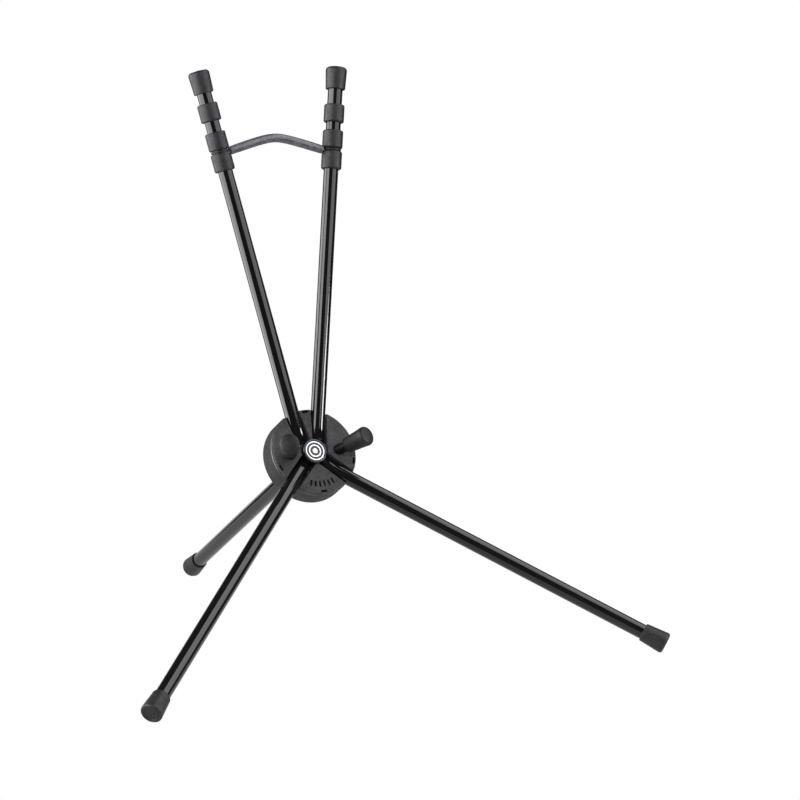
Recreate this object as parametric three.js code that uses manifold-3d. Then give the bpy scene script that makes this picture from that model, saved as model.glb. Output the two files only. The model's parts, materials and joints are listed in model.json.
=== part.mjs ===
// A folding saxophone stand: a tilted round hub carries a fixed rear leg, two front legs and two arms
// that fold back beside the rear leg, a flexible strap between the arms and two rubber pegs.
// Millimetres, +X right, +Y back, +Z up, origin on the floor at the middle of the stand's plan.
import * as THREE from "three";
import { mergeVertices } from "three/addons/utils/BufferGeometryUtils.js";
import Module from "manifold-3d";

const wasm = await Module();
wasm.setup();

// ---- driving dimensions -------------------------------------------------------------------------
const GAP = 0.3; // clearance between pieces that touch on the real stand
const BORE_GAP = 0.2; // the same between round pieces on one axis
const ROUND_SIDES = 24;
const RIM_SIDES = 72;
const CENTRE_SIDES = 48;
const PEG_SIDES = 20;
const PIN_SIDES = 16;
const SCREW_SIDES = 12;
const MOUTH_BEVEL = 0.4; // on the open end of a cap

// Tubes, all cut from one bar, and how they leave the hub
const TUBE_RADIUS = 6;
const TUBE_WALL = 1.2;
const HUB_TILT = 30.2; // degrees that the hub's face looks up from the horizontal
const CONE_ANGLE = 17; // degrees that legs and arms lean forward out of the hub's plane
const LEG_AZIMUTH = 134.3; // degrees from the hub's up direction to a front leg
const ARM_AZIMUTH = 10.6; // degrees from the hub's up direction to an arm
const ARM_OFFSET = 5.5; // from the hub's middle to the start of an arm's axis
const ARM_RISE = 2.2; // height of an arm's start over a leg's
const LEG_LENGTH = 324.5;
const ARM_LENGTH = 320;
const LEG_PIVOT = 14; // hinge pin's place along a leg
const ARM_PIVOT = 15.8; // hinge pin's place along an arm
const PLUG_LENGTH = 34;

// Hinge pins
const PIN_RADIUS = 1.5;
const PIN_HALF_LENGTH = 9.3;
const ARM_PIN_INNER_LENGTH = 7.2; // an arm's pin is short on the side of the other arm

// Hub housing and front cover
const HOUSING_RADIUS = 36.6;
const HOUSING_BACK = -9;
const HOUSING_FRONT = 11;
const HOUSING_ROUND = 2;
const COVER_RADIUS = 36;
const COVER_THICKNESS = 2.2;
const COVER_BEVEL = 0.6;
const FACE_HEIGHT = HOUSING_FRONT + GAP + COVER_THICKNESS;
const SLOT_WIDTH = 13;
const SLOT_WALL = 3.2; // plastic on each side of a slot
const SLOT_START = LEG_PIVOT * Math.cos(THREE.MathUtils.degToRad(CONE_ANGLE)) - TUBE_RADIUS - GAP;
const CORE_FRONT = 7.9;
const RECESS_RADIUS = 11;
const POCKET_INNER_RADIUS = 13.5;
const POCKET_OUTER_RADIUS = 33.6;
const POCKET_FLOOR = -6.5;
const TOP_WEB_WIDTH = 18; // the sector between the arms stays solid over this width
const REAR_SOCKET_TOP = 1;
const WINDOW_AZIMUTHS = [0, 109, 180, 251];
const WINDOW_RADIUS = 34.2;
const WINDOW_LENGTH = 5;
const WINDOW_WIDTH = 1.5;

// Centre: bezel, badge, screw, and the spring-loaded disc that holds the hinges by friction
const BEZEL_RADIUS = 10.3;
const BEZEL_BORE = 8.5;
const BEZEL_BOTTOM = 9.7;
const BEZEL_TOP = 14.9;
const BEZEL_FLOOR_BOTTOM = 11.4;
const BEZEL_FLOOR_TOP = 12.2;
const BADGE_RADIUS = 8.2;
const BADGE_BOTTOM = 13.4;
const BADGE_TOP = 14.6;
const BADGE_STEP = 0.3; // bevel of the badge's edge and depth of its field
const BADGE_RIM = 1.6;
const SCREW_RADIUS = 1.5;
const SCREW_HEAD_RADIUS = 3;
const SCREW_HEAD_HEIGHT = 0.6;
const SCREW_LENGTH = 24;
const DISC_BOTTOM = 8.3;
const DISC_THICKNESS = 0.8;
const DISC_RADIUS = 8.7;
const DISC_LOBE_REACH = 10;
const DISC_LOBE_WIDTH = 12;
const SPRING_INNER_RADIUS = 3.2;
const SPRING_OUTER_RADIUS = 7.4;
const SPRING_THICKNESS = 0.6;

// Pegs
const PEG_BASE_X = 21.4;
const PEG_BASE_Y = -0.8;
const PEG_TILT = 24; // degrees outward from the hub's axis
const PEG_STEM_RADIUS = 4.35;
const PEG_SOCKET_DEPTH = 8;
const PEG_BOSS_RADIUS = 7;
const PEG_SLEEVE_START = 10.5;
const PEG_SLEEVE_END = 33.4;
const PEG_MOUTH_RADIUS = 6.5;
const PEG_END_RADIUS = 8.3;
const PEG_END_ROUND = 2.5;
const PEG_DOME = 0.4;
const PEG_GROOVE_HEIGHTS = [15, 20];
const PEG_GROOVE_DEPTH = 0.5;
const PEG_GROOVE_STEPS = [0, 0.4, 1, 1.4]; // where a groove starts, bottoms out, rises and ends

// Foot caps and arm caps
const FOOT_CAP_LENGTH = 20.5;
const FOOT_MOUTH_RADIUS = 7.3;
const FOOT_END_RADIUS = 8.8;
const FOOT_RIM_ROUND = 2.2;
const FOOT_FLAT_DEPTH = 0.6; // height of rubber taken off where a foot meets the floor
const ARM_CAP_LENGTH = 19;
const ARM_CAP_MOUTHS = { left: 302.6, right: 301 }; // the left cap is pushed on a little less far
const ARM_CAP_MOUTH_RADIUS = 8;
const ARM_CAP_END_RADIUS = 8.9;
const ARM_CAP_ROUND = 3;
const ARM_CAP_DOME = 1;
const CAP_FLOOR = 4; // rubber between a tube's end and its cap's end

// Rubber rings on the arms, and the strap that is held between two of them
const RING_RADIUS = 8.35;
const RING_LENGTH = 14.8;
const RING_ROUND = 1.4;
// Each ring is pushed along its arm to a place of its own, so the two arms differ a little.
const RING_STARTS = {
  left: { lower: 238.2, upper: 255.5, rest: 279.3 },
  right: { lower: 234.7, upper: 252, rest: 273.4 },
};
const EYELET_RADIUS = 7.7;
const EYELET_THICKNESS = 1.9;
const STRAP_RADIUS = 3.6;
const STRAP_ARCH = 10.6;
const STRAP_BEND = 0.25; // the smaller, the sharper the strap bends in the middle of its arch
const STRAP_STEPS = 22;
const STRAP_SIDES = 5; // per half turn of the section

// ---- materials ----------------------------------------------------------------------------------
const finish = (color, roughness, metalness) => () =>
  new THREE.MeshStandardMaterial({ color, roughness, metalness });
const glossBlack = finish(0x0b0b0c, 0.18, 0.1);
const grainedPlastic = finish(0x2b2b2e, 0.7, 0);
const darkRubber = finish(0x262628, 0.85, 0);
const strapRubber = finish(0x3a3b3e, 0.5, 0);
const brightMetal = finish(0xd8dade, 0.2, 1);
const zincSteel = finish(0x9a9b9e, 0.4, 1);

// ---- shape helpers ------------------------------------------------------------------------------
const radians = THREE.MathUtils.degToRad;
const vec = (x, y, z) => new THREE.Vector3(x, y, z);

function solidOf(geometry) {
  const bare = geometry.clone();
  bare.deleteAttribute("normal");
  bare.deleteAttribute("uv");
  const merged = mergeVertices(bare, 1e-4);
  return new wasm.Manifold(
    new wasm.Mesh({
      numProp: 3,
      vertProperties: merged.attributes.position.array,
      triVerts: new Uint32Array(merged.index.array),
    }),
  );
}

function geometryOf(solid) {
  const mesh = solid.getMesh();
  const geometry = new THREE.BufferGeometry();
  geometry.setAttribute("position", new THREE.BufferAttribute(mesh.vertProperties, 3));
  geometry.setIndex(new THREE.BufferAttribute(mesh.triVerts, 1));
  geometry.computeVertexNormals();
  return geometry;
}

// A solid of revolution about Z. The profile is [radius, height] points, anticlockwise seen with
// the radius to the right: up the outside and back down the inside or the axis.
function turned(profile, sides = ROUND_SIDES) {
  const points = profile.map(([radius, height]) => new THREE.Vector2(radius, height));
  return new THREE.LatheGeometry(points, sides).rotateX(Math.PI / 2);
}

// Points of an arc in a profile, from one angle to another, in degrees.
function arc(radius, height, size, from, to, steps = 4) {
  return Array.from({ length: steps + 1 }, (_, i) => {
    const angle = radians(from + ((to - from) * i) / steps);
    return [radius + size * Math.cos(angle), height + size * Math.sin(angle)];
  });
}

// A closed profile starts and ends on the same point.
const ringProfile = (points) => [...points, points[0]];

const rod = (radius, bottom, top, sides) =>
  turned([[0, bottom], [radius, bottom], [radius, top], [0, top]], sides);

const hollowRod = (inner, outer, bottom, top, sides) =>
  turned(ringProfile([[inner, bottom], [outer, bottom], [outer, top], [inner, top]]), sides);

const block = (width, depth, height, x, y, z) =>
  new THREE.BoxGeometry(width, depth, height).translate(x, y, z);

function addPart(parent, name, shape, material) {
  const geometry = shape instanceof THREE.BufferGeometry ? shape : geometryOf(shape);
  const mesh = new THREE.Mesh(geometry, material);
  mesh.name = name;
  parent.add(mesh);
  return mesh;
}

// ---- places -------------------------------------------------------------------------------------
// In the hub's own frame Y is its up direction and Z its axis, out of the front face.
function strutPlace(azimuth, side, offset, rise) {
  const plan = vec(side * Math.sin(radians(azimuth)), Math.cos(radians(azimuth)), 0);
  const along = plan.clone().multiplyScalar(Math.cos(radians(CONE_ANGLE)));
  along.z = Math.sin(radians(CONE_ANGLE));
  return { start: vec(side * offset, 0, rise), plan, along, side };
}

// The group's Z runs along the strut and its X along the hinge pin.
function strutGroup(place) {
  const pinAxis = vec(0, 0, 1).cross(place.plan).normalize();
  const group = new THREE.Group();
  const third = place.along.clone().cross(pinAxis);
  group.setRotationFromMatrix(new THREE.Matrix4().makeBasis(pinAxis, third, place.along));
  group.position.copy(place.start);
  return group;
}

const legPlace = (side) => strutPlace(LEG_AZIMUTH, side, 0, 0);
const armPlace = (side) => strutPlace(ARM_AZIMUTH, side, ARM_OFFSET, ARM_RISE);
const SIDES = [["left", -1], ["right", 1]];

const hubRotation = new THREE.Euler(radians(90 - HUB_TILT), 0, 0);
const legDirection = legPlace(1).along.clone().applyEuler(hubRotation);
const rearDirection = vec(0, 0, -1).applyEuler(hubRotation);

// How far a foot's rounded rim reaches beyond its axis along one world axis.
const rimReach = (component) =>
  (FOOT_END_RADIUS - FOOT_RIM_ROUND) * Math.sqrt(1 - component * component) + FOOT_RIM_ROUND;

const hubHeight =
  -legDirection.z * (LEG_LENGTH - FOOT_RIM_ROUND) + rimReach(legDirection.z) - FOOT_FLAT_DEPTH;
const rearLength =
  (hubHeight - rimReach(rearDirection.z) + FOOT_FLAT_DEPTH) / -rearDirection.z + FOOT_RIM_ROUND;
const frontReach = legDirection.y * (LEG_LENGTH - FOOT_RIM_ROUND) - rimReach(legDirection.y);
const rearReach = rearDirection.y * (rearLength - FOOT_RIM_ROUND) + rimReach(rearDirection.y);

const stand = new THREE.Group();
const hub = new THREE.Group();
hub.position.set(0, -(frontReach + rearReach) / 2, hubHeight);
hub.rotation.copy(hubRotation);
stand.add(hub);

// ---- hub ----------------------------------------------------------------------------------------
// A slot through the hub for one strut, open at the front, the side and the back.
function slotCut(place, width, start = SLOT_START) {
  const length = HOUSING_RADIUS * 2;
  const cut = block(width, length, HOUSING_RADIUS * 2, 0, start + length / 2, 0);
  cut.rotateZ(-Math.atan2(place.plan.x, place.plan.y));
  return solidOf(cut.translate(place.start.x, place.start.y, 0));
}

const strutPlaces = () => [legPlace, armPlace].flatMap((place) => SIDES.map(([, side]) => place(side)));
const pivotOf = (place) => (Math.abs(place.start.x) > 0 ? ARM_PIVOT : LEG_PIVOT);

// A hinge pin's cradle: round at the bottom and open to the front, where the cover closes it.
function cradleCut(place) {
  const radius = PIN_RADIUS + GAP;
  const reach = PIN_HALF_LENGTH + GAP;
  const inner = place.start.x === 0 ? reach : ARM_PIN_INNER_LENGTH + GAP;
  const middle = ((reach - inner) / 2) * place.side;
  const bore = rod(radius, -(reach + inner) / 2, (reach + inner) / 2, PIN_SIDES).rotateY(Math.PI / 2);
  const mouth = block(reach + inner, radius * 2, HOUSING_RADIUS, 0, 0, HOUSING_RADIUS / 2);
  const centre = place.along.clone().multiplyScalar(pivotOf(place)).add(place.start);
  const turn = -Math.atan2(place.plan.x, place.plan.y);
  return [bore, mouth].map((geometry) =>
    solidOf(geometry.translate(middle, 0, 0).rotateZ(turn).translate(centre.x, centre.y, centre.z)),
  );
}

function pegPlaced(geometry, side) {
  return geometry.rotateY(side * radians(PEG_TILT)).translate(side * PEG_BASE_X, PEG_BASE_Y, FACE_HEIGHT);
}

function hubHousing() {
  const bottom = HOUSING_BACK;
  const disc = solidOf(
    turned(
      [
        [0, bottom],
        ...arc(HOUSING_RADIUS - HOUSING_ROUND, bottom + HOUSING_ROUND, HOUSING_ROUND, -90, 0, 3),
        [HOUSING_RADIUS, HOUSING_FRONT],
        [0, HOUSING_FRONT],
      ],
      RIM_SIDES,
    ),
  );
  let pockets = solidOf(
    hollowRod(POCKET_INNER_RADIUS, POCKET_OUTER_RADIUS, POCKET_FLOOR, HOUSING_FRONT + 1, RIM_SIDES),
  );
  const across = HOUSING_RADIUS * 2;
  pockets = pockets.subtract(solidOf(block(TOP_WEB_WIDTH, across, across, 0, HOUSING_RADIUS, 0)));
  for (const place of strutPlaces()) {
    pockets = pockets.subtract(slotCut(place, SLOT_WIDTH + 2 * SLOT_WALL, 0));
  }
  for (const [, side] of SIDES) {
    pockets = pockets.subtract(solidOf(pegPlaced(rod(PEG_BOSS_RADIUS, -across, across, PEG_SIDES), side)));
  }
  let housing = disc.subtract(pockets);
  for (const place of strutPlaces()) {
    housing = housing.subtract(slotCut(place, SLOT_WIDTH));
    for (const cut of cradleCut(place)) {
      housing = housing.subtract(cut);
    }
  }
  for (const [, side] of SIDES) {
    const socket = rod(PEG_STEM_RADIUS + BORE_GAP, -PEG_SOCKET_DEPTH - GAP, across, PEG_SIDES);
    housing = housing.subtract(solidOf(pegPlaced(socket, side)));
  }
  return housing
    .subtract(solidOf(rod(RECESS_RADIUS, CORE_FRONT, HOUSING_FRONT + 1, CENTRE_SIDES)))
    .subtract(solidOf(rod(TUBE_RADIUS + BORE_GAP, HOUSING_BACK - 1, REAR_SOCKET_TOP, ROUND_SIDES)))
    .subtract(solidOf(rod(SCREW_RADIUS + GAP, HOUSING_BACK, HOUSING_FRONT + 1, SCREW_SIDES)));
}

function frontCover() {
  const bottom = FACE_HEIGHT - COVER_THICKNESS;
  let cover = solidOf(
    turned(
      [
        [0, bottom],
        [COVER_RADIUS, bottom],
        [COVER_RADIUS, FACE_HEIGHT - COVER_BEVEL],
        [COVER_RADIUS - COVER_BEVEL, FACE_HEIGHT],
        [0, FACE_HEIGHT],
      ],
      RIM_SIDES,
    ),
  );
  for (const place of strutPlaces()) {
    cover = cover.subtract(slotCut(place, SLOT_WIDTH, 0));
  }
  for (const [, side] of SIDES) {
    const hole = rod(PEG_STEM_RADIUS + BORE_GAP, -HOUSING_RADIUS, HOUSING_RADIUS, PEG_SIDES);
    cover = cover.subtract(solidOf(pegPlaced(hole, side)));
  }
  for (const azimuth of WINDOW_AZIMUTHS) {
    const cut = block(WINDOW_LENGTH, WINDOW_WIDTH, COVER_THICKNESS * 3, 0, WINDOW_RADIUS, FACE_HEIGHT);
    cover = cover.subtract(solidOf(cut.rotateZ(-radians(azimuth))));
  }
  const bezel = rod(BEZEL_RADIUS, BEZEL_BOTTOM, BEZEL_TOP, CENTRE_SIDES);
  const badgeSeat = rod(BEZEL_BORE, BEZEL_FLOOR_TOP, BEZEL_TOP + 1, CENTRE_SIDES);
  const springRoom = rod(BEZEL_BORE, BEZEL_BOTTOM - 1, BEZEL_FLOOR_BOTTOM, CENTRE_SIDES);
  return cover
    .add(solidOf(bezel))
    .subtract(solidOf(badgeSeat))
    .subtract(solidOf(springRoom))
    .subtract(solidOf(rod(SCREW_RADIUS + GAP, 0, BEZEL_TOP, SCREW_SIDES)));
}

// The disc presses on the hinge ends of all four folding tubes; two lobes reach for the arms.
function pressureDisc() {
  const top = DISC_BOTTOM + DISC_THICKNESS;
  const middle = DISC_BOTTOM + DISC_THICKNESS / 2;
  const lobes = block(DISC_LOBE_WIDTH, DISC_LOBE_REACH, DISC_THICKNESS, 0, DISC_LOBE_REACH / 2, middle);
  const reach = rod(DISC_LOBE_REACH, DISC_BOTTOM, top, CENTRE_SIDES);
  return solidOf(rod(DISC_RADIUS, DISC_BOTTOM, top, CENTRE_SIDES))
    .add(solidOf(lobes).intersect(solidOf(reach)))
    .subtract(solidOf(rod(SCREW_RADIUS + GAP, 0, BEZEL_TOP, SCREW_SIDES)));
}

// A coned washer, squeezed between the bezel's floor and the disc.
function pressureSpring() {
  const bottom = DISC_BOTTOM + DISC_THICKNESS + GAP;
  const top = BEZEL_FLOOR_BOTTOM - GAP;
  return turned(
    ringProfile([
      [SPRING_INNER_RADIUS, top - SPRING_THICKNESS],
      [SPRING_OUTER_RADIUS, bottom],
      [SPRING_OUTER_RADIUS, bottom + SPRING_THICKNESS],
      [SPRING_INNER_RADIUS, top],
    ]),
  );
}

function centreBadge() {
  return turned([
    [0, BADGE_BOTTOM],
    [BADGE_RADIUS, BADGE_BOTTOM],
    [BADGE_RADIUS, BADGE_TOP - BADGE_STEP],
    [BADGE_RADIUS - BADGE_STEP, BADGE_TOP],
    [BADGE_RADIUS - BADGE_RIM, BADGE_TOP],
    [BADGE_RADIUS - BADGE_RIM - BADGE_STEP, BADGE_TOP - BADGE_STEP],
    [0, BADGE_TOP - BADGE_STEP],
  ], CENTRE_SIDES);
}

function centreScrew() {
  const seat = BEZEL_FLOOR_TOP + GAP;
  return turned([
    [0, seat - SCREW_LENGTH],
    [SCREW_RADIUS, seat - SCREW_LENGTH],
    [SCREW_RADIUS, seat],
    [SCREW_HEAD_RADIUS, seat],
    [SCREW_HEAD_RADIUS, seat + SCREW_HEAD_HEIGHT],
    [0, seat + SCREW_HEAD_HEIGHT],
  ], SCREW_SIDES);
}

addPart(hub, "hub_housing", hubHousing(), grainedPlastic());
addPart(hub, "front_cover", frontCover(), grainedPlastic());
addPart(hub, "centre_badge", centreBadge(), brightMetal());
addPart(hub, "centre_screw", centreScrew(), zincSteel());
addPart(hub, "pressure_disc", pressureDisc(), zincSteel());
addPart(hub, "pressure_spring", pressureSpring(), zincSteel());

// ---- pegs ---------------------------------------------------------------------------------------
const pegStem = () =>
  rod(PEG_STEM_RADIUS, -PEG_SOCKET_DEPTH, PEG_SLEEVE_END - CAP_FLOOR - GAP, PEG_SIDES);

function pegSleeve() {
  const bore = PEG_STEM_RADIUS + BORE_GAP;
  const shoulder = PEG_SLEEVE_END - PEG_DOME;
  const outside = (height) =>
    THREE.MathUtils.mapLinear(height, PEG_SLEEVE_START, PEG_SLEEVE_END, PEG_MOUTH_RADIUS, PEG_END_RADIUS);
  const grooved = PEG_GROOVE_HEIGHTS.flatMap((height) =>
    PEG_GROOVE_STEPS.map((step, i) => [
      outside(height) - (i === 1 || i === 2 ? PEG_GROOVE_DEPTH : 0),
      height + step,
    ]),
  );
  return turned([
    [0, PEG_SLEEVE_END - CAP_FLOOR],
    [bore, PEG_SLEEVE_END - CAP_FLOOR],
    [bore, PEG_SLEEVE_START],
    [PEG_MOUTH_RADIUS, PEG_SLEEVE_START],
    ...grooved,
    ...arc(PEG_END_RADIUS - PEG_END_ROUND, shoulder - PEG_END_ROUND, PEG_END_ROUND, 0, 90),
    [0, PEG_SLEEVE_END],
  ]);
}

for (const [name, side] of SIDES) {
  addPart(hub, `${name}_peg_stem`, pegPlaced(pegStem(), side), grainedPlastic());
  addPart(hub, `${name}_peg_sleeve`, pegPlaced(pegSleeve(), side), darkRubber());
}

// ---- struts -------------------------------------------------------------------------------------
// Rounds a hinge end about its pin, so that it turns without leaving its own space, and drills it.
function hingeEnd(solid, pivot) {
  const across = TUBE_RADIUS * 3;
  const length = LEG_LENGTH;
  const onPin = (radius, sides) =>
    solidOf(rod(radius, -across, across, sides).rotateY(Math.PI / 2).translate(0, 0, pivot));
  const rest = solidOf(block(across, across, length, 0, 0, pivot + length / 2));
  return solid
    .intersect(onPin(TUBE_RADIUS, PIN_SIDES * 2).add(rest))
    .subtract(onPin(PIN_RADIUS + GAP, PIN_SIDES));
}

const strutTube = (pivot, length) =>
  hingeEnd(
    solidOf(
      hollowRod(TUBE_RADIUS - TUBE_WALL, TUBE_RADIUS, pivot - TUBE_RADIUS - 1, length - CAP_FLOOR - GAP),
    ),
    pivot,
  );

const hingePlug = (pivot) =>
  hingeEnd(
    solidOf(rod(TUBE_RADIUS - TUBE_WALL - BORE_GAP, pivot - TUBE_RADIUS - 1, pivot + PLUG_LENGTH)),
    pivot,
  );

function hingePin(group, name, pivot, side, isArm) {
  const inner = isArm ? ARM_PIN_INNER_LENGTH : PIN_HALF_LENGTH;
  // The group's X points away from the other arm on the left side and towards it on the right.
  const low = side < 0 ? -inner : -PIN_HALF_LENGTH;
  const high = side < 0 ? PIN_HALF_LENGTH : inner;
  const pin = rod(PIN_RADIUS, low, high, PIN_SIDES).rotateY(Math.PI / 2).translate(0, 0, pivot);
  addPart(group, `${name}_hinge_pin`, pin, zincSteel());
}

function footCap(length) {
  const mouth = length - FOOT_CAP_LENGTH;
  return turned([
    [0, length - CAP_FLOOR],
    [TUBE_RADIUS + BORE_GAP, length - CAP_FLOOR],
    [TUBE_RADIUS + BORE_GAP, mouth],
    [FOOT_MOUTH_RADIUS - MOUTH_BEVEL, mouth],
    [FOOT_MOUTH_RADIUS, mouth + MOUTH_BEVEL],
    ...arc(FOOT_END_RADIUS - FOOT_RIM_ROUND, length - FOOT_RIM_ROUND, FOOT_RIM_ROUND, 8, 90, 5),
    [0, length],
  ]);
}

// Takes off what a foot would push below the floor, which leaves the flat that it stands on.
function stoodOnFloor(geometry, group) {
  stand.updateMatrixWorld(true);
  const inverse = group.matrixWorld.clone().invert();
  const across = LEG_LENGTH * 4;
  const floor = block(across, across, LEG_LENGTH, 0, 0, -LEG_LENGTH / 2).applyMatrix4(inverse);
  return solidOf(geometry).subtract(solidOf(floor));
}

function armCap(mouth) {
  const end = mouth + ARM_CAP_LENGTH;
  const shoulder = end - ARM_CAP_DOME;
  return turned([
    [0, end - CAP_FLOOR],
    [TUBE_RADIUS + BORE_GAP, end - CAP_FLOOR],
    [TUBE_RADIUS + BORE_GAP, mouth],
    [ARM_CAP_MOUTH_RADIUS - MOUTH_BEVEL, mouth],
    [ARM_CAP_MOUTH_RADIUS, mouth + MOUTH_BEVEL],
    ...arc(ARM_CAP_END_RADIUS - ARM_CAP_ROUND, shoulder - ARM_CAP_ROUND, ARM_CAP_ROUND, 5, 75),
    [0, end],
  ]);
}

function rubberRing(start) {
  const end = start + RING_LENGTH;
  const shoulder = RING_RADIUS - RING_ROUND;
  return turned(
    ringProfile([
      [TUBE_RADIUS + BORE_GAP, start],
      ...arc(shoulder, start + RING_ROUND, RING_ROUND, -90, 0, 3),
      ...arc(shoulder, end - RING_ROUND, RING_ROUND, 0, 90, 3),
      [TUBE_RADIUS + BORE_GAP, end],
    ]),
  );
}

const rearLeg = new THREE.Group();
rearLeg.rotation.x = Math.PI;
hub.add(rearLeg);
const rearTube = hollowRod(
  TUBE_RADIUS - TUBE_WALL,
  TUBE_RADIUS,
  -REAR_SOCKET_TOP + GAP,
  rearLength - CAP_FLOOR - GAP,
);
const rearPlug = hollowRod(
  SCREW_RADIUS + GAP,
  TUBE_RADIUS - TUBE_WALL - BORE_GAP,
  -REAR_SOCKET_TOP + GAP,
  PLUG_LENGTH,
  ROUND_SIDES,
);
addPart(rearLeg, "rear_leg_tube", rearTube, glossBlack());
addPart(rearLeg, "rear_leg_plug", rearPlug, grainedPlastic());
addPart(rearLeg, "rear_foot_cap", stoodOnFloor(footCap(rearLength), rearLeg), darkRubber());

for (const [name, side] of SIDES) {
  const leg = strutGroup(legPlace(side));
  hub.add(leg);
  addPart(leg, `${name}_leg_tube`, strutTube(LEG_PIVOT, LEG_LENGTH), glossBlack());
  addPart(leg, `${name}_leg_plug`, hingePlug(LEG_PIVOT), grainedPlastic());
  addPart(leg, `${name}_foot_cap`, stoodOnFloor(footCap(LEG_LENGTH), leg), darkRubber());
  hingePin(leg, `${name}_leg`, LEG_PIVOT, side, false);

  const arm = strutGroup(armPlace(side));
  hub.add(arm);
  addPart(arm, `${name}_arm_tube`, strutTube(ARM_PIVOT, ARM_LENGTH), glossBlack());
  addPart(arm, `${name}_arm_plug`, hingePlug(ARM_PIVOT), grainedPlastic());
  addPart(arm, `${name}_strap_ring_lower`, rubberRing(RING_STARTS[name].lower), darkRubber());
  addPart(arm, `${name}_strap_ring_upper`, rubberRing(RING_STARTS[name].upper), darkRubber());
  addPart(arm, `${name}_rest_ring`, rubberRing(RING_STARTS[name].rest), darkRubber());
  addPart(arm, `${name}_arm_cap`, armCap(ARM_CAP_MOUTHS[name]), darkRubber());
  hingePin(arm, `${name}_arm`, ARM_PIVOT, side, true);
}

// ---- strap --------------------------------------------------------------------------------------
// The strap arches in the plane of the two arms, from one eyelet's inner side to the other's.
function swept(curve, radius, sides, steps) {
  const section = new THREE.Shape().absarc(0, 0, radius, 0, 2 * Math.PI);
  return new THREE.ExtrudeGeometry(section, { curveSegments: sides, steps, extrudePath: curve });
}

const grooveMiddle = (name) => (RING_STARTS[name].lower + RING_LENGTH + RING_STARTS[name].upper) / 2;
const strapUp = vec(0, armPlace(1).along.y, armPlace(1).along.z).normalize();
const bow = (place) => Math.sqrt(place * place + STRAP_BEND * STRAP_BEND);

// The strap's end lies between the tube and the eyelet's rim, on the side of the other arm.
function strapEnd(name, side) {
  const place = armPlace(side);
  const end = place.along.clone().multiplyScalar(grooveMiddle(name)).add(place.start);
  end.x -= side * ((TUBE_RADIUS + EYELET_RADIUS) / 2 + GAP);
  return end;
}

class StrapLine extends THREE.Curve {
  getPoint(t, target = new THREE.Vector3()) {
    const [leftEnd, rightEnd] = SIDES.map(([name, side]) => strapEnd(name, side));
    const arch = STRAP_ARCH * (1 - (bow(2 * t - 1) - bow(0)) / (bow(1) - bow(0)));
    return target.copy(strapUp).multiplyScalar(arch).add(leftEnd.lerp(rightEnd, t));
  }
}

function eyelet(middle) {
  const half = EYELET_THICKNESS / 2;
  return hollowRod(TUBE_RADIUS + BORE_GAP, EYELET_RADIUS, middle - half, middle + half);
}

// A strap's end is slimmed to the groove between its two rings and stays off the tube.
function strap() {
  let made = solidOf(swept(new StrapLine(), STRAP_RADIUS, STRAP_SIDES, STRAP_STEPS));
  for (const [name, side] of SIDES) {
    const { lower, upper } = RING_STARTS[name];
    const group = strutGroup(armPlace(side));
    group.updateMatrix();
    const keepOff = [
      rod(TUBE_RADIUS + BORE_GAP, lower, upper + RING_LENGTH),
      rod(RING_RADIUS + GAP, lower, lower + RING_LENGTH + GAP),
      rod(RING_RADIUS + GAP, upper - GAP, upper + RING_LENGTH),
    ];
    for (const cut of keepOff) {
      made = made.subtract(solidOf(cut.applyMatrix4(group.matrix)));
    }
    made = made.add(solidOf(eyelet(grooveMiddle(name)).applyMatrix4(group.matrix)));
  }
  return made;
}

addPart(hub, "strap", strap(), strapRubber());

export default stand;
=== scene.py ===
"""The looks of a folding saxophone stand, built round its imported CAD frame.

Shapes are drawn in millimetres in the frame of the hub or strut that they belong to, and a placing
matrix turns them into metres in the row frame. Bodies, joints and the box come from the frame.
"""
import json
import math

import bpy
from mathutils import Matrix, Vector, geometry


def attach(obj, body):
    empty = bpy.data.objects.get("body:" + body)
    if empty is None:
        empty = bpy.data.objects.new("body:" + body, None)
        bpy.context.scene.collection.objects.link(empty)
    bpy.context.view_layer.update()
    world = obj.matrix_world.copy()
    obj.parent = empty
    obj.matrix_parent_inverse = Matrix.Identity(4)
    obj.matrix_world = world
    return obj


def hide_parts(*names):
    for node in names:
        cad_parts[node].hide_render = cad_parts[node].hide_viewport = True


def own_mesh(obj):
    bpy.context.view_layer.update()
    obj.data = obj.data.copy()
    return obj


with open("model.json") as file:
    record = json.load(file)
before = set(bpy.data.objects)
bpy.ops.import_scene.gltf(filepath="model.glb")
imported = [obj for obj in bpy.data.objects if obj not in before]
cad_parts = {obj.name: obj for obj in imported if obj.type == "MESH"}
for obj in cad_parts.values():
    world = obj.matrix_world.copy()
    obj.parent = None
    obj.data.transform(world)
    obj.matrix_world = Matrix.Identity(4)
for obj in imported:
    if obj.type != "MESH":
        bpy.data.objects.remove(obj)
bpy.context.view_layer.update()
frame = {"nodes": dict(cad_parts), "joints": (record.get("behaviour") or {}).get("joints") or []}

# ---- sizes, in millimetres and degrees ----------------------------------------------------------
MM = 0.001
GAP = 0.3
TUBE_RADIUS = 6
TUBE_WALL = 1.2
HUB_TILT = 30.2
CONE_ANGLE = 17
LEG_AZIMUTH = 134.3
ARM_AZIMUTH = 10.6
ARM_OFFSET = 5.5
ARM_RISE = 2.2
LEG_LENGTH = 324.5
ARM_LENGTH = 320
LEG_PIVOT = 14
ARM_PIVOT = 15.8
HINGE_REACH = 8  # from the pin to where the tube is plain
TUBE_CHAMFER = 0.25
CAP_FLOOR = 4
CAP_BORE = TUBE_RADIUS + 0.12
BORE_ROUND = 0.12

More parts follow.
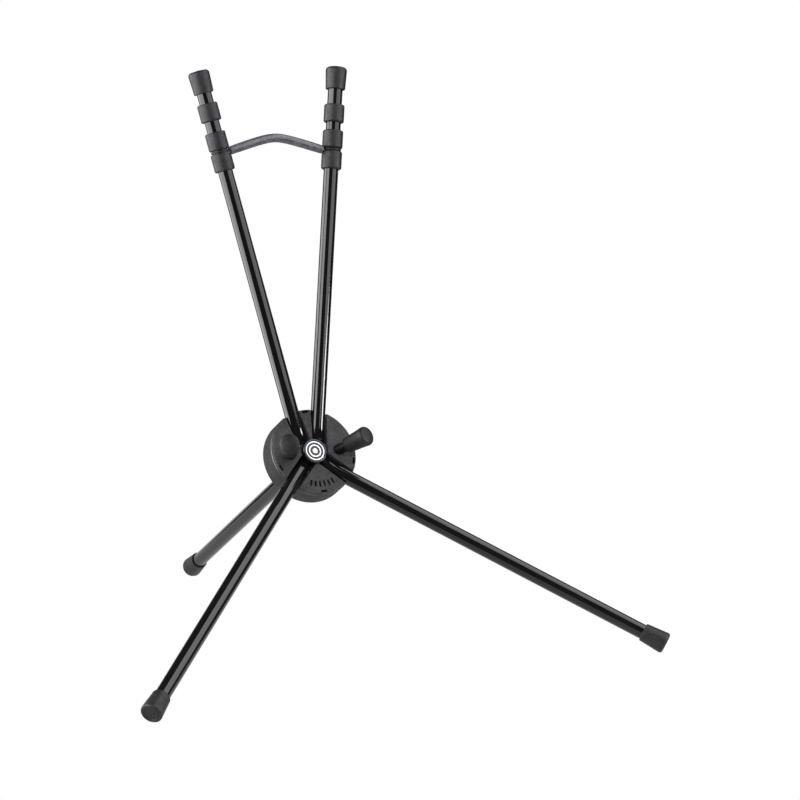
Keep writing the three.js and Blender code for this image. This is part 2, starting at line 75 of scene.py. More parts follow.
HOUSING_RADIUS = 36.6
HOUSING_BACK = -9
HOUSING_FRONT = 11
BACK_ROUND = 2.2
FRONT_ROUND = 1
COVER_RADIUS = 36
COVER_BOTTOM = 11.3
COVER_ROUND = 0.7
FACE_HEIGHT = 13.5
RIM_CORNER = 0.7
ROOT_CORNER = 0.35
SLOT_HALF = 6.5
SLOT_START = LEG_PIVOT * math.cos(math.radians(CONE_ANGLE)) - TUBE_RADIUS - GAP
REAR_SOCKET_TOP = 1
WINDOW_AZIMUTHS = (0, 109, 180, 251)
WINDOW_RADIUS = 34.2
WINDOW_LENGTH = 5.2
WINDOW_WIDTH = 1.9
WINDOW_CORNER = 0.3
LATCH_BOTTOM = 10.7
LATCH_TOP = 11.7
LATCH_EDGE = 0.3

GRIP_AZIMUTHS = range(160, 201, 8)
GRIP_RADIUS = 28
GRIP_LENGTH = 4.8
GRIP_WIDTH = 1.5
GRIP_CORNER = 0.5
GRIP_DEPTH = 1.2
GRIP_EDGE = 0.2

BEZEL_RADIUS = 10.3
BEZEL_BORE = 8.5
BEZEL_BOTTOM = 9.7
BEZEL_TOP = 14.9
BEZEL_FLOOR = (11.4, 12.2)  # its underside and top
SCREW_HOLE_RADIUS = 1.8
BADGE_RADIUS = 8.2
BADGE_BOTTOM = 13.4
BADGE_TOP = 14.6
BADGE_FIELD = 14.2
BADGE_GROOVES = ((2.3, 4.15), (5.4, 7))  # inner and outer radius of each, at its floor
BADGE_RING_TOP = 14.5
BADGE_DOME = 0.2
FILLER_GAP = 0.05
FILLER_DEPTHS = (-0.1, 0.12)  # from the field down and up
HUB_SIDES = 96

PEG_BASE = Vector((21.4, -0.8, FACE_HEIGHT))
PEG_TILT = 24
PEG_STEM_RADIUS = 4.35
PEG_STEM_START = -2
PEG_STEM_SIDES = 48
PEG_SLEEVE_START = 10.5
PEG_SLEEVE_END = 33.4
PEG_BORE = PEG_STEM_RADIUS + 0.1
PEG_MOUTH_RADIUS = 6.5
PEG_END_RADIUS = 8.3
PEG_END_ROUND = 2.6
PEG_DOME = 1
PEG_GROOVE_STARTS = (15, 20)
PEG_GROOVE_WIDTH = 1.4
PEG_GROOVE_SLOPE = 0.35
PEG_GROOVE_DEPTH = 0.5
PEG_GROOVE_ROUND = 0.15

FOOT_CAP_LENGTH = 20.5
FOOT_MOUTH_RADIUS = 7.3
FOOT_END_RADIUS = 8.8
FOOT_RIM_ROUND = 2.2
FOOT_LIP_LENGTH = 1.6
FOOT_LIP_STEP = 0.1
FOOT_DISH_RADIUS = 5.6
FOOT_DISH_SLOPE = 0.3
FOOT_DISH_DEPTH = 0.5
FOOT_FLAT_DEPTH = 0.6  # how deep the floor cuts the rear foot's rim
ARM_CAP_LENGTH = 19
ARM_CAP_MOUTHS = {"left": 302.6, "right": 301}
ARM_CAP_DOME = 0.9
ARM_CAP_MOUTH_RADIUS = 8
ARM_CAP_END_RADIUS = 8.9
ARM_CAP_ROUND = 3

RING_RADIUS = 8.35
RING_LENGTH = 14.8
RING_ROUND = 1.4
RING_STARTS = {
    "left": {"strap_ring_lower": 238.2, "strap_ring_upper": 255.5, "rest_ring": 279.3},
    "right": {"strap_ring_lower": 234.7, "strap_ring_upper": 252, "rest_ring": 273.4},
}
EYELET_RADIUS = 7.3
EYELET_THICKNESS = 1.9
EYELET_ROUND = 0.6
STRAP_RADIUS = 3.6
STRAP_END_RADIUS = 3.35
STRAP_TAPER = 12  # how far from its ends the strap reaches its full radius
STRAP_ARCH = 10.6
STRAP_BEND = 0.25  # how sharply the strap bends in the middle of its arch; smaller is sharper

SIDES = (("left", -1), ("right", 1))
TUBE_SIDES = 64
RIM_STEP = math.radians(3)
SHARP_ANGLE = math.radians(32)
ON_AXIS = 1e-6


# ---- places -------------------------------------------------------------------------------------
def polar(azimuth, radius=1.0):
    """A point in the hub's plane; azimuth runs clockwise from the hub's up direction, in degrees."""
    angle = math.radians(azimuth)
    return Vector((radius * math.sin(angle), radius * math.cos(angle)))


HUB_TURN = Matrix.Rotation(math.radians(90 - HUB_TILT), 4, "X")
CONE = math.radians(CONE_ANGLE)


def strut_direction(azimuth, side):
    plan = polar(side * azimuth)
    return Vector((plan.x * math.cos(CONE), plan.y * math.cos(CONE), math.sin(CONE)))


joints = {joint["name"]: joint for joint in frame["joints"]}
leg_pivot = Vector(joints["left_leg_fold"]["pos_m"])
hub_origin = leg_pivot - HUB_TURN @ strut_direction(LEG_AZIMUTH, -1) * LEG_PIVOT * MM
HUB = Matrix.Translation(hub_origin) @ HUB_TURN @ Matrix.Scale(MM, 4)


def strut_matrix(azimuth, side, offset, rise):
    """Z runs along the strut and X along its hinge pin."""
    plan = polar(side * azimuth).to_3d()
    along = strut_direction(azimuth, side)
    pin = Vector((0, 0, 1)).cross(plan)
    turn = Matrix((pin, along.cross(pin), along)).transposed().to_4x4()
    return HUB @ Matrix.Translation((side * offset, 0, rise)) @ turn


LEGS = {name: strut_matrix(LEG_AZIMUTH, side, 0, 0) for name, side in SIDES}
ARMS = {name: strut_matrix(ARM_AZIMUTH, side, ARM_OFFSET, ARM_RISE) for name, side in SIDES}
REAR_LEG = HUB @ Matrix.Rotation(math.pi, 4, "X")


# ---- materials ----------------------------------------------------------------------------------
WEAR = 0.08  # how far a moulded surface's roughness goes either way
WEAR_SCALE = 2.3  # how much finer its patches are than the colour's


def new_material(name, roughness, metallic=0.0, specular=0.5):
    material = bpy.data.materials.new(name)
    material.use_nodes = True
    shader = material.node_tree.nodes["Principled BSDF"]
    shader.inputs["Roughness"].default_value = roughness
    shader.inputs["Metallic"].default_value = metallic
    shader.inputs["Specular IOR Level"].default_value = specular
    return material, material.node_tree, shader


def noise(tree, scale, detail=3.0):
    """Object-space noise; scale is in bumps per metre."""
    place = tree.nodes.new("ShaderNodeTexCoord")
    made = tree.nodes.new("ShaderNodeTexNoise")
    made.inputs["Scale"].default_value = scale
    made.inputs["Detail"].default_value = detail
    tree.links.new(place.outputs["Object"], made.inputs["Vector"])
    return made.outputs["Fac"]


def ramp(tree, factor, stops):
    """The factor as a colour between two stops, each a position and its colour."""
    node = tree.nodes.new("ShaderNodeValToRGB")
    for element, (position, colour) in zip(node.color_ramp.elements, stops):
        element.position = position
        element.color = (*colour, 1)
    tree.links.new(factor, node.inputs["Fac"])
    return node.outputs["Color"]


def grey(value, blue=1.0):
    return (value, value, value * blue)


def spread(tree, factor, low, high):
    """The factor's middle part, stretched from low to high."""
    node = tree.nodes.new("ShaderNodeMapRange")
    node.inputs["From Min"].default_value = 0.3
    node.inputs["From Max"].default_value = 0.7
    node.inputs["To Min"].default_value = low
    node.inputs["To Max"].default_value = high
    tree.links.new(factor, node.inputs["Value"])
    return node.outputs["Result"]


def bump(tree, shader, height, strength, distance, under=None):
    """Relief on the shader, on top of the bump called under where there is one."""
    node = tree.nodes.new("ShaderNodeBump")
    node.inputs["Strength"].default_value = strength
    node.inputs["Distance"].default_value = distance
    tree.links.new(height, node.inputs["Height"])
    if under is not None:
        tree.links.new(under, node.inputs["Normal"])
    tree.links.new(node.outputs["Normal"], shader.inputs["Normal"])
    return node.outputs["Normal"]


def blended(tree, first, second, share):
    """Two factors in one; share is the second one's part."""
    node = tree.nodes.new("ShaderNodeMix")
    node.inputs["Factor"].default_value = share
    tree.links.new(first, node.inputs["A"])
    tree.links.new(second, node.inputs["B"])
    return node.outputs["Result"]


def moulded(name, dark, light, roughness, specular, blue=1.0, patch=120, grain=900,
            depth=0.00008, share=0.35):
    """Plastic or rubber: grey in soft patches and a fine grain, with the grain's relief.

    dark and light are its darkest and lightest grey, and blue is how much more blue they have;
    patch and grain are in bumps per metre, depth is the grain's height in metres, and share is the
    grain's part in the colour.
    """
    material, tree, shader = new_material(name, roughness, specular=specular)
    fine = noise(tree, grain, 2)
    mottle = blended(tree, noise(tree, patch, 4), fine, share)
    colour = ramp(tree, mottle, [(0.42, grey(dark, blue)), (0.58, grey(light, blue))])
    tree.links.new(colour, shader.inputs["Base Color"])
    worn = noise(tree, patch * WEAR_SCALE)
    worn = spread(tree, worn, roughness - WEAR, roughness + WEAR)
    tree.links.new(worn, shader.inputs["Roughness"])
    coarse = bump(tree, shader, noise(tree, grain / 4, 2), 0.2, depth)
    bump(tree, shader, fine, 0.8, depth, coarse)
    return material


def gloss_paint():
    """Black enamel on drawn tube, with a faint orange peel."""
    material, tree, shader = new_material("gloss_black_paint", 0.07)
    colour = ramp(tree, noise(tree, 40), [(0.3, grey(0.003)), (0.7, grey(0.0045, 1.1))])
    tree.links.new(colour, shader.inputs["Base Color"])
    tree.links.new(spread(tree, noise(tree, 130), 0.05, 0.09), shader.inputs["Roughness"])
    bump(tree, shader, noise(tree, 420, 1), 0.05, 0.0002)
    return material


def gloss_plastic():
    """The bezel's smooth black plastic."""
    material, tree, shader = new_material("gloss_black_plastic", 0.2)
    colour = ramp(tree, noise(tree, 300), [(0.3, grey(0.004)), (0.7, grey(0.006))])
    tree.links.new(colour, shader.inputs["Base Color"])
    tree.links.new(spread(tree, noise(tree, 500), 0.14, 0.24), shader.inputs["Roughness"])
    bump(tree, shader, noise(tree, 1500, 2), 0.08, 0.00005)
    return material


def plated(name, colour_low, colour_high, roughness):
    """Plated metal between two colours and two roughnesses, in patches of about a millimetre."""
    material, tree, shader = new_material(name, roughness[0], metallic=1.0)
    colour = ramp(tree, noise(tree, 900), [(0.3, colour_low), (0.7, colour_high)])
    tree.links.new(colour, shader.inputs["Base Color"])
    tree.links.new(spread(tree, noise(tree, 1800), *roughness), shader.inputs["Roughness"])
    bump(tree, shader, noise(tree, 2700, 2), 0.1, 0.00003)
    return material


paint = gloss_paint()
bezel_plastic = gloss_plastic()
housing_plastic = moulded("housing_plastic", 0.013, 0.027, 0.68, 0.18, 1.04, grain=1000,
                          depth=0.0003, share=0.6)
# Glossier than the housing and a lighter grey: the lighter grey is a painted highlight for the light
# line along the housing's front rim.
rim_highlight_plastic = moulded("rim_highlight_plastic", 0.014, 0.035, 0.3, 0.6, 1.04)
cover_plastic = moulded("cover_plastic", 0.014, 0.044, 0.58, 0.3, 1.06, patch=150, grain=1500,
                        depth=0.0008, share=0.7)
post_plastic = moulded("post_plastic", 0.0012, 0.0025, 0.4, 0.2)
# Near-black, far darker than the cover around it: painted shade for the latches set back in the windows
# and for the grip grooves' floors.
recess_shade_plastic = moulded("recess_shade_plastic", 0.0006, 0.0012, 0.75, 0.1)
cap_rubber = moulded("cap_rubber", 0.009, 0.018, 0.45, 0.32, 1.12, share=0.6)
foot_rubber = moulded("foot_rubber", 0.006, 0.013, 0.48, 0.3, share=0.6)
peg_rubber = moulded("peg_rubber", 0.005, 0.012, 0.5, 0.28, share=0.6)
strap_rubber = moulded("strap_rubber", 0.035, 0.1, 0.28, 0.6, 1.08, patch=300, share=0.6)
chrome = plated("badge_chrome", (0.55, 0.56, 0.58), (0.7, 0.71, 0.73), (0.12, 0.22))
inlay = moulded("badge_inlay", 0.004, 0.01, 0.35, 0.5, depth=0.00003)
zinc = plated("zinc_steel", (0.45, 0.46, 0.48), (0.6, 0.61, 0.62), (0.3, 0.45))


# ---- shape helpers ------------------------------------------------------------------------------
def rounded(corners, closed=False, steps=5):
    """An outline of (x, y) or (x, y, radius) corners, with an arc at each corner that has a radius."""
    points = []
    for i, (x, y, *radius) in enumerate(corners):
        here = Vector((x, y))
        if not radius or (not closed and i in (0, len(corners) - 1)):
            points.append(here)
            continue
        before = (Vector(corners[i - 1][:2]) - here).normalized()
        after = (Vector(corners[(i + 1) % len(corners)][:2]) - here).normalized()
        half = before.angle(after) / 2
        middle = here + (before + after).normalized() * radius[0] / math.sin(half)
        start = here + before * radius[0] / math.tan(half) - middle
        end = here + after * radius[0] / math.tan(half) - middle
        first = math.atan2(start.y, start.x)
        sweep = (math.atan2(end.y, end.x) - first + math.pi) % (2 * math.pi) - math.pi
        for k in range(steps + 1):
            angle = first + sweep * k / steps
            points.append(middle + Vector((math.cos(angle), math.sin(angle))) * radius[0])
    return points


def turned(profile, closed=False, sides=TUBE_SIDES, lift=None):
    """Vertices and faces of a solid turned about Z, from (radius, height) points up its outside.

    A closed profile makes a ring; an open one starts and ends on the axis. lift(angle, radius,
    height), where given, is how far a ring's vertex moves along Z.
    """
    points = []
    rows = []
    for radius, height in profile:
        first = len(points)
        if radius < ON_AXIS:
            points.append((0, 0, height))
            rows.append([first] * sides)
            continue
        rows.append(list(range(first, first + sides)))
        for i in range(sides):
            angle = 2 * math.pi * i / sides
            raised = height + (lift(angle, radius, height) if lift else 0)
            points.append((radius * math.cos(angle), radius * math.sin(angle), raised))
    pairs = list(zip(rows, rows[1:] + rows[:1])) if closed else list(zip(rows, rows[1:]))
    faces = []
    for low, high in pairs:
        for i in range(sides):
            j = (i + 1) % sides
            face = list(dict.fromkeys((low[i], low[j], high[j], high[i])))
            if len(face) > 2:
                faces.append(face)
    return points, faces


def plate(loops, steps):
    """A plate whose outline and holes keep their material on the left.

    A loop holds (point, share); steps are (inset, height) from the bottom to the top, and a share
    scales the inset at its point.
    """
    points = []
    faces = []
    first_rows = []
    last_rows = []
    for loop in loops:
        count = len(loop)
        offsets = []
        for i, (here, share) in enumerate(loop):
            before = (here - loop[i - 1][0]).normalized()
            after = (loop[(i + 1) % count][0] - here).normalized()
            left = Vector((-before.y - after.y, before.x + after.x))
            offsets.append(left / (1 + before.dot(after)) * share)
        rows = []
        for inset, height in steps:
            rows.append(range(len(points), len(points) + count))
            for (here, _), offset in zip(loop, offsets):
                points.append((*(here + offset * inset), height))
        for low, high in zip(rows, rows[1:]):
            for i in range(count):
                j = (i + 1) % count
                faces.append([low[i], low[j], high[j], high[i]])
        first_rows.append(rows[0])
        last_rows.append(rows[-1])
    for cap_rows, up in ((first_rows, False), (last_rows, True)):
        order = [index for row in cap_rows for index in row]
        outline = [[Vector(points[index]) for index in row] for row in cap_rows]
        for triangle in geometry.tessellate_polygon(outline):
            a, b, c = (order[index] for index in triangle)
            across = (Vector(points[b]) - Vector(points[a])).cross(Vector(points[c]) - Vector(points[a]))
            faces.append([a, b, c] if (across.z > 0) == up else [a, c, b])
    return points, faces


def swept(path, section, frames):
    """A closed solid along path; section(i) gives the (x, y) points of its i-th cross-section.

    frames holds the (side, up) directions that x and y follow at each point of the path.
    """
    points = []
    faces = []
    rows = []
    for i, (centre, (side, up)) in enumerate(zip(path, frames)):
        outline = section(i)
        rows.append(range(len(points), len(points) + len(outline)))
        points += [centre + side * x + up * y for x, y in outline]
    count = len(rows[0])
    for low, high in zip(rows, rows[1:]):
        for i in range(count):
            j = (i + 1) % count
            faces.append([low[i], low[j], high[j], high[i]])
    faces.append(list(reversed(rows[0])))
    faces.append(list(rows[-1]))
    return points, faces


def joined(*shapes):
    """Several shapes as one."""
    points = []
    faces = []
    for more_points, more_faces in shapes:
        first = len(points)
        points += [tuple(point) for point in more_points]
        faces += [[first + index for index in face] for face in more_faces]
    return points, faces


def add_piece(name, shape, matrix, material, body, node):
    """A new piece in metres, smooth but for its sharp edges, riding on a body for a CAD node."""
    points, faces = shape
    mesh = bpy.data.meshes.new(name)
    mesh.from_pydata([matrix @ Vector(point) for point in points], [], faces)
    mesh.shade_smooth()
    mesh.set_sharp_from_angle(angle=SHARP_ANGLE)
    mesh.materials.append(material)
    made = bpy.data.objects.new(name, mesh)
    bpy.context.scene.collection.objects.link(made)
    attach(made, body)
    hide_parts(node)
    return made


# ---- camera -------------------------------------------------------------------------------------
VIEW_AZIMUTH = -27.22
VIEW_ELEVATION = 9.97
VIEW_ROLL = -0.28
VIEW_DISTANCE = 2.6549
VIEW_AIM_RIGHT = 0.0740  # from the hub to the middle of the view
VIEW_AIM_UP = 0.0461
VIEW_LENS = 147.77


def add_camera():
    """Adds the photo's view, and returns its level directions to the right and back to the camera."""
    azimuth = math.radians(VIEW_AZIMUTH)
    elevation = math.radians(VIEW_ELEVATION)
    back = Vector((
        math.sin(azimuth) * math.cos(elevation),
        -math.cos(azimuth) * math.cos(elevation),
        math.sin(elevation),
    ))
    level = Vector((math.cos(azimuth), math.sin(azimuth), 0))
    right = Matrix.Rotation(math.radians(VIEW_ROLL), 3, back) @ level
    up = back.cross(right)
    data = bpy.data.cameras.new("view_camera")
    data.sensor_width = 36
    data.lens = VIEW_LENS
    camera = bpy.data.objects.new("view_camera", data)
    place = hub_origin + right * VIEW_AIM_RIGHT + up * VIEW_AIM_UP + back * VIEW_DISTANCE
    turn = Matrix((right, up, back)).transposed().to_4x4()
    camera.matrix_world = Matrix.Translation(place) @ turn
    bpy.context.scene.collection.objects.link(camera)
    bpy.context.scene.camera = camera
    return level, Vector((math.sin(azimuth), -math.cos(azimuth), 0))


view_right, view_back = add_camera()


# ---- hub ----------------------------------------------------------------------------------------
class Slot:
    """A strut's slot in the hub's plane, from its start outwards; side 1 is its anticlockwise wall."""

    def __init__(self, azimuth, offset):
        self.start = Vector((offset, 0))
        self.out = polar(azimuth)
        self.left = Vector((-self.out.y, self.out.x))

    def wall(self, side, reach):
        """The point of a wall that lies reach outwards from the slot's start."""
        return self.start + self.left * side * SLOT_HALF + self.out * reach

    def rim(self, side, radius):
        """Where a wall meets the circle of a radius about the hub's middle."""
        near = self.wall(side, 0)
        along = near.dot(self.out)
        return near + self.out * (math.sqrt(along * along + radius * radius - near.dot(near)) - along)

    def crossing(self, side, other, other_side):
        """Where a wall, drawn on both ways, crosses another slot's."""
        return geometry.intersect_line_line_2d(
            self.wall(side, -HOUSING_RADIUS), self.wall(side, HOUSING_RADIUS),
            other.wall(other_side, -HOUSING_RADIUS), other.wall(other_side, HOUSING_RADIUS),
        )


RIGHT_LEG = Slot(LEG_AZIMUTH, 0)
RIGHT_ARM = Slot(ARM_AZIMUTH, ARM_OFFSET)
LEFT_ARM = Slot(-ARM_AZIMUTH, -ARM_OFFSET)
LEFT_LEG = Slot(-LEG_AZIMUTH, 0)
SLOTS = (RIGHT_LEG, RIGHT_ARM, LEFT_ARM, LEFT_LEG)  # anticlockwise

# The part of a plate's rounding that its edges get where they are not at the rim; 1 is all of it.
HOUSING_WALLS = 0.18
COVER_WALLS = 0.75
OPENING_WALLS = 0.4
RIM_BAND = 0.2  # how near the rim a point is to count as on it


def rim_arc(start, end, radius):
    """Points on the rim between two others, anticlockwise."""
    first = math.atan2(start.y, start.x)
    sweep = (math.atan2(end.y, end.x) - first) % (2 * math.pi)
    count = max(2, round(sweep / RIM_STEP))
    angles = [first + sweep * i / count for i in range(1, count)]
    return [(radius * math.cos(angle), radius * math.sin(angle)) for angle in angles]


def shared(outline, radius, walls):
    """An outline's points with the share of the rounding each takes: all at the rim, less at walls."""
    return [(point, 1.0 if point.length > radius - RIM_BAND else walls) for point in outline]


def housing_outline():
    corners = []
    for slot, following in zip(SLOTS, SLOTS[1:] + SLOTS[:1]):
        out_point = slot.rim(1, HOUSING_RADIUS)
        corners += [
            (*slot.rim(-1, HOUSING_RADIUS), RIM_CORNER),
            (*slot.wall(-1, SLOT_START), ROOT_CORNER),
            (*slot.wall(1, SLOT_START), ROOT_CORNER),
            (*out_point, RIM_CORNER),
        ]
        corners += rim_arc(out_point, following.rim(-1, HOUSING_RADIUS), HOUSING_RADIUS)
    return shared(rounded(corners, closed=True), HOUSING_RADIUS, HOUSING_WALLS)


def quarter_round(size, height, rising, steps=5):
    """(inset, height) steps of a rounded edge that ends or starts at height."""
    made = []
    for i in range(steps + 1):
        angle = math.pi / 2 * i / steps
        if rising:
            made.append((size * (1 - math.cos(angle)), height - size * (1 - math.sin(angle))))
        else:
            made.append((size * (1 - math.sin(angle)), height + size * (1 - math.cos(angle))))
    return made


def housing():
    support = 0.25  # a narrow band round each flat face keeps its shading flat
    steps = [
        (BACK_ROUND + support, HOUSING_BACK),
        *quarter_round(BACK_ROUND, HOUSING_BACK, False),
        *quarter_round(FRONT_ROUND, HOUSING_FRONT, True),
        (FRONT_ROUND + support, HOUSING_FRONT),
    ]
    return plate([housing_outline()], steps)


def sector(first, second, inner):
    """A sector of the cover between two slots, with its inner corners."""
    start = first.rim(1, COVER_RADIUS)
    end = second.rim(-1, COVER_RADIUS)
    corners = [(*start, RIM_CORNER), *rim_arc(start, end, COVER_RADIUS), (*end, RIM_CORNER), *inner]
    return shared(rounded(corners, closed=True), COVER_RADIUS, COVER_WALLS)


def opening(azimuth, radius, length, width, corner):
    """A hole through the cover, width along the radius and length across it, clockwise."""
    out = polar(azimuth)
    side = Vector((-out.y, out.x))
    corners = []
    for x, y in ((-1, -1), (-1, 1), (1, 1), (1, -1)):
        corners.append((*(out * (radius + width / 2 * y) - side * length / 2 * x), corner))
    return [(point, OPENING_WALLS) for point in rounded(corners, closed=True, steps=3)]


def window(azimuth):
    return opening(azimuth, WINDOW_RADIUS, WINDOW_LENGTH, WINDOW_WIDTH, WINDOW_CORNER)


def grip_groove(azimuth):
    return opening(azimuth, GRIP_RADIUS, GRIP_WIDTH, GRIP_LENGTH, GRIP_CORNER)


def side_root(leg, arm, leg_side):
    """Where the root of an arm's slot meets the wall of a leg's slot."""
    return geometry.intersect_line_line_2d(
        arm.wall(-1, 0), arm.wall(1, 0),
        leg.wall(leg_side, -HOUSING_RADIUS), leg.wall(leg_side, HOUSING_RADIUS),
    )


def cover():
    """Four sectors between the slots. The inner corners of each lie under or beside the bezel."""
    chamfer = 0.2
    support = 0.2
    half_sector = 40  # degrees either way of a sector's middle
    wedge_root = BEZEL_RADIUS - 0.8
    wedge_tip = LEFT_ARM.crossing(-1, RIGHT_ARM, 1).y
    wedge_half = (wedge_root - wedge_tip) * math.tan(math.radians(ARM_AZIMUTH))
    right_roots = [tuple(RIGHT_ARM.wall(-1, 0)), tuple(side_root(RIGHT_LEG, RIGHT_ARM, 1))]
    left_roots = [(-x, y) for x, y in reversed(right_roots)]
    sectors = [
        (RIGHT_LEG, RIGHT_ARM, 90, right_roots),
        (RIGHT_ARM, LEFT_ARM, 0, [(-wedge_half, wedge_root), (wedge_half, wedge_root)]),
        (LEFT_ARM, LEFT_LEG, -90, left_roots),
        (LEFT_LEG, RIGHT_LEG, 180, [tuple(LEFT_LEG.crossing(1, RIGHT_LEG, -1))]),
    ]
    steps = [
        (chamfer, COVER_BOTTOM),
        (0, COVER_BOTTOM + chamfer),
        *quarter_round(COVER_ROUND, FACE_HEIGHT, True),
        (COVER_ROUND + support, FACE_HEIGHT),
    ]
    made = []
    for first, second, middle, roots in sectors:
        turns = [(azimuth - middle + 180) % 360 - 180 for azimuth in WINDOW_AZIMUTHS]
        holes = [window(a) for a, turn in zip(WINDOW_AZIMUTHS, turns) if abs(turn) < half_sector]
        if middle == 180:
            holes += [grip_groove(azimuth) for azimuth in GRIP_AZIMUTHS]
        made.append(plate([sector(first, second, roots), *holes], steps))
    return joined(*made)


def fillings(outlines, bottom, top, edge):
    """Blocks that fill openings up to a height, each with a sloped edge round its top."""
    fit = 0.02
    steps = [(fit, bottom), (fit, top - edge), (edge, top)]
    return joined(*(plate([list(reversed(outline))], steps) for outline in outlines))


def latches():
    """The snap hooks that show, set back, in the cover's windows. Their near-black material is painted
    shade in the recess.
    """
    outlines = [window(azimuth) for azimuth in WINDOW_AZIMUTHS]
    return fillings(outlines, LATCH_BOTTOM, LATCH_TOP, LATCH_EDGE)


def grip_floors():
    """The floors of the row of plain grip grooves in the lower sector, in near-black painted shade."""
    outlines = [grip_groove(azimuth) for azimuth in GRIP_AZIMUTHS]
    return fillings(outlines, COVER_BOTTOM, FACE_HEIGHT - GRIP_DEPTH, GRIP_EDGE)


def bezel():
    """A raised ring round the badge, with a floor that the centre screw goes through."""
    low, high = BEZEL_FLOOR
    return turned(rounded([
        (SCREW_HOLE_RADIUS, low), (BEZEL_BORE, low), (BEZEL_BORE, BEZEL_BOTTOM),
        (BEZEL_RADIUS, BEZEL_BOTTOM), (BEZEL_RADIUS, BEZEL_TOP, 0.8), (BEZEL_BORE, BEZEL_TOP, 0.35),
        (BEZEL_BORE, high), (SCREW_HOLE_RADIUS, high),
    ], closed=True), closed=True, sides=HUB_SIDES)


def badge():
    """A plain plated disc with a raised rim, a raised ring and a domed middle."""
    rim_slope = 0.2
    ring_slope = 0.15
    (first_inner, first_outer), (second_inner, second_outer) = BADGE_GROOVES
    return turned(rounded([
        (0, BADGE_BOTTOM), (BADGE_RADIUS, BADGE_BOTTOM), (BADGE_RADIUS, BADGE_TOP, 0.3),
        (second_outer + rim_slope, BADGE_TOP, 0.2), (second_outer, BADGE_FIELD),
        (second_inner, BADGE_FIELD), (second_inner - ring_slope, BADGE_RING_TOP, 0.1),
        (first_outer + ring_slope, BADGE_RING_TOP, 0.1), (first_outer, BADGE_FIELD),
        (first_inner, BADGE_FIELD), (first_inner - rim_slope, BADGE_TOP, 0.2),
        (0, BADGE_TOP + BADGE_DOME),
    ], steps=4), sides=HUB_SIDES)


def badge_filler():
    """Dark filler in the badge's two grooves."""
    low, high = (BADGE_FIELD + depth for depth in FILLER_DEPTHS)
    made = []
    for groove_inner, groove_outer in BADGE_GROOVES:
        inner = groove_inner + FILLER_GAP
        outer = groove_outer - FILLER_GAP
        ring = [(inner, low), (outer, low), (outer, high), (inner, high)]
        made.append(turned(ring, closed=True, sides=HUB_SIDES))
    return joined(*made)


def paint_highlight_band(piece, material, low, high):
    """Gives a piece's faces between two heights of the hub a second material, which on the housing is
    glossier and a lighter grey; the lighter grey is a painted highlight along the rim.
    """
    piece.data.materials.append(material)
    to_hub = HUB.inverted()
    for face in piece.data.polygons:
        if low < (to_hub @ face.center).z < high:
            face.material_index = 1


shell = add_piece("hub_shell", housing(), HUB, housing_plastic, "stand_body",
                  "hub_housing")
flat_front = HOUSING_FRONT - 0.01
# The housing's front rounding gets the lighter, glossier band: a painted highlight along the rim.
paint_highlight_band(shell, rim_highlight_plastic, HOUSING_FRONT - FRONT_ROUND, flat_front)
add_piece("hub_cover", cover(), HUB, cover_plastic, "stand_body", "front_cover")
# The latches and the grip floors are near-black: painted shade in the windows and grooves.
add_piece("cover_latches", latches(), HUB, recess_shade_plastic, "stand_body", "front_cover")
add_piece("cover_grip", grip_floors(), HUB, recess_shade_plastic, "stand_body", "front_cover")
add_piece("centre_bezel", bezel(), HUB, bezel_plastic, "stand_body", "front_cover")
add_piece("badge_disc", badge(), HUB, chrome, "stand_body", "centre_badge")
add_piece("badge_fill", badge_filler(), HUB, inlay, "stand_body", "centre_badge")


# ---- pegs ---------------------------------------------------------------------------------------
def peg_matrix(side):
    base = Vector((side * PEG_BASE.x, PEG_BASE.y, PEG_BASE.z))
    return HUB @ Matrix.Translation(base) @ Matrix.Rotation(side * math.radians(PEG_TILT), 4, "Y")


def peg_stem():
    end = PEG_SLEEVE_END - CAP_FLOOR - GAP
    return turned([
        (0, PEG_STEM_START), (PEG_STEM_RADIUS, PEG_STEM_START), (PEG_STEM_RADIUS, end), (0, end),
    ], sides=PEG_STEM_SIDES)


def peg_sleeve():
    """A tapered rubber sleeve with two fine grooves and a domed end."""
    taper = (PEG_END_RADIUS - PEG_MOUTH_RADIUS) / (PEG_SLEEVE_END - PEG_SLEEVE_START)
    grooves = []
    for start in PEG_GROOVE_STARTS:
        outside = PEG_MOUTH_RADIUS + taper * (start - PEG_SLEEVE_START)
        inside = outside - PEG_GROOVE_DEPTH
        end = start + PEG_GROOVE_WIDTH
        grooves += [
            (outside, start, PEG_GROOVE_ROUND),
            (inside, start + PEG_GROOVE_SLOPE, PEG_GROOVE_ROUND),
            (inside, end - PEG_GROOVE_SLOPE, PEG_GROOVE_ROUND),
            (outside, end, PEG_GROOVE_ROUND),
        ]
    floor = PEG_SLEEVE_END - CAP_FLOOR
    return turned(rounded([
        (0, floor), (PEG_BORE, floor), (PEG_BORE, PEG_SLEEVE_START, 0.1),
        (PEG_MOUTH_RADIUS, PEG_SLEEVE_START, 0.5), *grooves,
        (PEG_END_RADIUS, PEG_SLEEVE_END - PEG_DOME, PEG_END_ROUND), (0, PEG_SLEEVE_END),
    ]))


for name, side in SIDES:
    place = peg_matrix(side)
    add_piece(f"{name}_peg_post", peg_stem(), place, post_plastic, "stand_body",
              f"{name}_peg_stem")
    add_piece(f"{name}_peg_cover", peg_sleeve(), place, peg_rubber, "stand_body",
              f"{name}_peg_sleeve")


